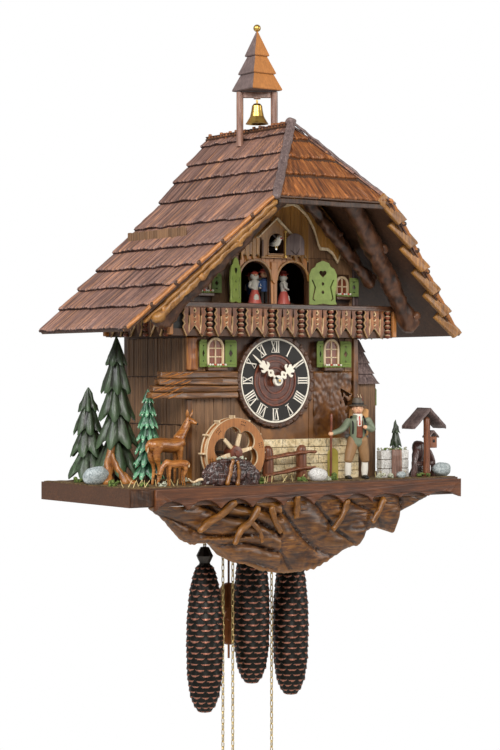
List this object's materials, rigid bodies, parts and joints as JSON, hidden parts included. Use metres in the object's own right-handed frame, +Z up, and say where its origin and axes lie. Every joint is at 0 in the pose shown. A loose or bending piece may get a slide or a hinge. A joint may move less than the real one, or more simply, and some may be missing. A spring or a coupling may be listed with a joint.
{
  "type": "cuckoo clock",
  "caption": "Chalet cuckoo clock with shingled roof, bell tower, balcony, turning dancers, water wheel, pendulum and pine cone weights on chains.",
  "frame": {"origin": "centre of the hanger plate's hole, on the wall plane", "axes": "+X to the clock's right seen from the front, +Y into the wall, +Z up"},
  "size_m": [0.481, 0.262, 0.9112],
  "materials": {
    "dark_wood": "stained and varnished",
    "roof_wood": "stained, hand-riven shingles",
    "carved_wood": "hand carved, stained and varnished",
    "orange_wood": "light stain, clear varnish",
    "cream_wood": "bare cut edges",
    "green_paint": "matt paint over wood",
    "pale_post_wood": "stained",
    "black_dial": "black stain with cream figures",
    "ivory_hand": "pressed, off-white",
    "brass": "polished",
    "figure_wood": "hand painted wood",
    "deer_wood": "oiled and glossy",
    "pine_wood": "carved, green stain",
    "stone": "painted composition stone",
    "wall_stone": "painted masonry",
    "door_felt": "dark stain",
    "iron_weight": "bronzed casting",
    "whistle_wood": "bare lime wood"
  },
  "bodies": {
    "case": {"back_panel": "dark_wood", "hanger_plate": "brass", "yard_board": "dark_wood", "front_carving": "carved_wood", "carved_apron": "carved_wood", "side_walls": "dark_wood", "front_wall": "dark_wood", "corner_logs": "carved_wood", "upper_front": "orange_wood", "gable_panel": "carved_wood", "gable_arch": "carved_wood", "upper_floor": "dark_wood", "balcony_railing": "orange_wood", "roof_left": "roof_wood", "roof_right": "roof_wood", "roof_hip": "roof_wood", "verge_boards": "dark_wood", "branch_logs": "dark_wood", "window_frames": "cream_wood", "window_shutters": "green_paint", "dancer_doors": "green_paint", "cuckoo_house": "cream_wood", "bell_tower": "pale_post_wood", "dial_ring": "carved_wood", "dial_plate": "black_dial", "turret": "carved_wood", "yard_walls": "wall_stone", "rock_trough": "carved_wood", "yard_stones": "stone", "pine_trees": "pine_wood", "deer": "deer_wood", "hiker": "figure_wood", "bird_feeder": "carved_wood", "movement_frame": "brass", "whistles": "whistle_wood", "music_frame": "brass"},
    "hour": {"hour_hand": "ivory_hand"},
    "minute": {"minute_hand": "ivory_hand", "centre_arbor": "brass"},
    "pendulum": {"pendulum_rod": "carved_wood", "pendulum_bob": "carved_wood"},
    "cuckoo": {"cuckoo_bird": "figure_wood"},
    "cuckoo_door": {"cuckoo_door": "door_felt"},
    "dancer_ring": {"dancer_turntable": "dark_wood", "dancers": "figure_wood"},
    "music_cylinder": {"music_cylinder": "brass"},
    "water_wheel": {"water_wheel": "orange_wood"},
    "bell": {"bell": "brass"},
    "bell_clapper": {"bell_clapper": "brass"},
    "bellows_left": {"bellows_board_left": "whistle_wood"},
    "bellows_right": {"bellows_board_right": "whistle_wood"},
    "weight_left": {"weight_left": "iron_weight"},
    "chain_left": {"chain_left": "brass"},
    "chain_wheel_left": {"chain_wheel_left": "brass"},
    "weight_middle": {"weight_middle": "iron_weight"},
    "chain_middle": {"chain_middle": "brass"},
    "chain_wheel_middle": {"chain_wheel_middle": "brass"},
    "weight_right": {"weight_right": "iron_weight"},
    "chain_right": {"chain_right": "brass"},
    "chain_wheel_right": {"chain_wheel_right": "brass"}
  },
  "joints": [
    {"name": "minute_hand_turn", "type": "hinge", "parent": "case", "child": "minute", "pos_m": [0, -0.14, -0.21], "axis": [0, 1, 0], "continuous": true},
    {"name": "hour_hand_turn", "type": "hinge", "parent": "case", "child": "hour", "pos_m": [0, -0.14, -0.21], "axis": [0, 1, 0], "continuous": true},
    {"name": "pendulum_swing", "type": "hinge", "parent": "case", "child": "pendulum", "pos_m": [0, -0.066, -0.184], "axis": [0, 1, 0], "range_deg": [-5, 5]},
    {"name": "cuckoo_slide", "type": "slide", "parent": "case", "child": "cuckoo", "axis": [0, 1, 0], "range_m": [0, 0.03]},
    {"name": "cuckoo_door_swing", "type": "hinge", "parent": "case", "child": "cuckoo_door", "pos_m": [0.0125, -0.1475, -0.05], "axis": [0, 0, 1], "range_deg": [-146, 0]},
    {"name": "dancers_turn", "type": "hinge", "parent": "case", "child": "dancer_ring", "pos_m": [0.004, -0.076, -0.125], "axis": [0, 0, 1], "continuous": true},
    {"name": "music_cylinder_turn", "type": "hinge", "parent": "case", "child": "music_cylinder", "pos_m": [0.07, -0.034, -0.306], "axis": [1, 0, 0], "continuous": true},
    {"name": "water_wheel_turn", "type": "hinge", "parent": "case", "child": "water_wheel", "pos_m": [-0.083, -0.175, -0.294], "axis": [0, 1, 0], "continuous": true},
    {"name": "bell_swing", "type": "hinge", "parent": "case", "child": "bell", "pos_m": [0, -0.106, 0.1292], "axis": [0.817, -0.5767, 0], "range_deg": [-20, 20]},
    {"name": "clapper_swing", "type": "hinge", "parent": "bell", "child": "bell_clapper", "pos_m": [0, -0.106, 0.124], "axis": [0.817, -0.5767, 0], "range_deg": [-10, 10]},
    {"name": "bellows_left_lift", "type": "hinge", "parent": "case", "child": "bellows_left", "pos_m": [-0.101, -0.068, -0.1716], "axis": [-1, 0, 0], "range_deg": [0, 8]},
    {"name": "bellows_right_lift", "type": "hinge", "parent": "case", "child": "bellows_right", "pos_m": [0.101, -0.068, -0.1716], "axis": [-1, 0, 0], "range_deg": [0, 8]},
    {"name": "weight_left_drop", "type": "slide", "parent": "case", "child": "weight_left", "axis": [0, 0, -1], "range_m": [0, 0.14]},
    {"name": "chain_left_rise", "type": "slide", "parent": "case", "child": "chain_left", "axis": [0, 0, 1], "range_m": [0, 0.1401]},
    {"name": "chain_wheel_left_turn", "type": "hinge", "parent": "case", "child": "chain_wheel_left", "pos_m": [-0.04975, -0.086, -0.304], "axis": [0, 1, 0], "continuous": true},
    {"name": "weight_middle_drop", "type": "slide", "parent": "case", "child": "weight_middle", "axis": [0, 0, -1], "range_m": [0, 0.14]},
    {"name": "chain_middle_rise", "type": "slide", "parent": "case", "child": "chain_middle", "axis": [0, 0, 1], "range_m": [0, 0.1401]},
    {"name": "chain_wheel_middle_turn", "type": "hinge", "parent": "case", "child": "chain_wheel_middle", "pos_m": [-0.008, -0.086, -0.304], "axis": [0, 1, 0], "continuous": true},
    {"name": "weight_right_drop", "type": "slide", "parent": "case", "child": "weight_right", "axis": [0, 0, -1], "range_m": [0, 0.14]},
    {"name": "chain_right_rise", "type": "slide", "parent": "case", "child": "chain_right", "axis": [0, 0, 1], "range_m": [0, 0.1401]},
    {"name": "chain_wheel_right_turn", "type": "hinge", "parent": "case", "child": "chain_wheel_right", "pos_m": [0.0505, -0.086, -0.304], "axis": [0, 1, 0], "continuous": true}
  ],
  "couplings": [
    {"joint": "hour_hand_turn", "follows": "minute_hand_turn", "ratio": 0.083333},
    {"joint": "cuckoo_door_swing", "follows": "cuckoo_slide", "rad_per_m": -84.3},
    {"joint": "music_cylinder_turn", "follows": "dancers_turn", "ratio": 0.5},
    {"joint": "water_wheel_turn", "follows": "dancers_turn", "ratio": 1},
    {"joint": "chain_left_rise", "follows": "weight_left_drop", "ratio": 1},
    {"joint": "chain_wheel_left_turn", "follows": "weight_left_drop", "rad_per_m": -75.472},
    {"joint": "chain_middle_rise", "follows": "weight_middle_drop", "ratio": 1},
    {"joint": "chain_wheel_middle_turn", "follows": "weight_middle_drop", "rad_per_m": 71.429},
    {"joint": "chain_right_rise", "follows": "weight_right_drop", "ratio": 1},
    {"joint": "chain_wheel_right_turn", "follows": "weight_right_drop", "rad_per_m": 68.966}
  ]
}
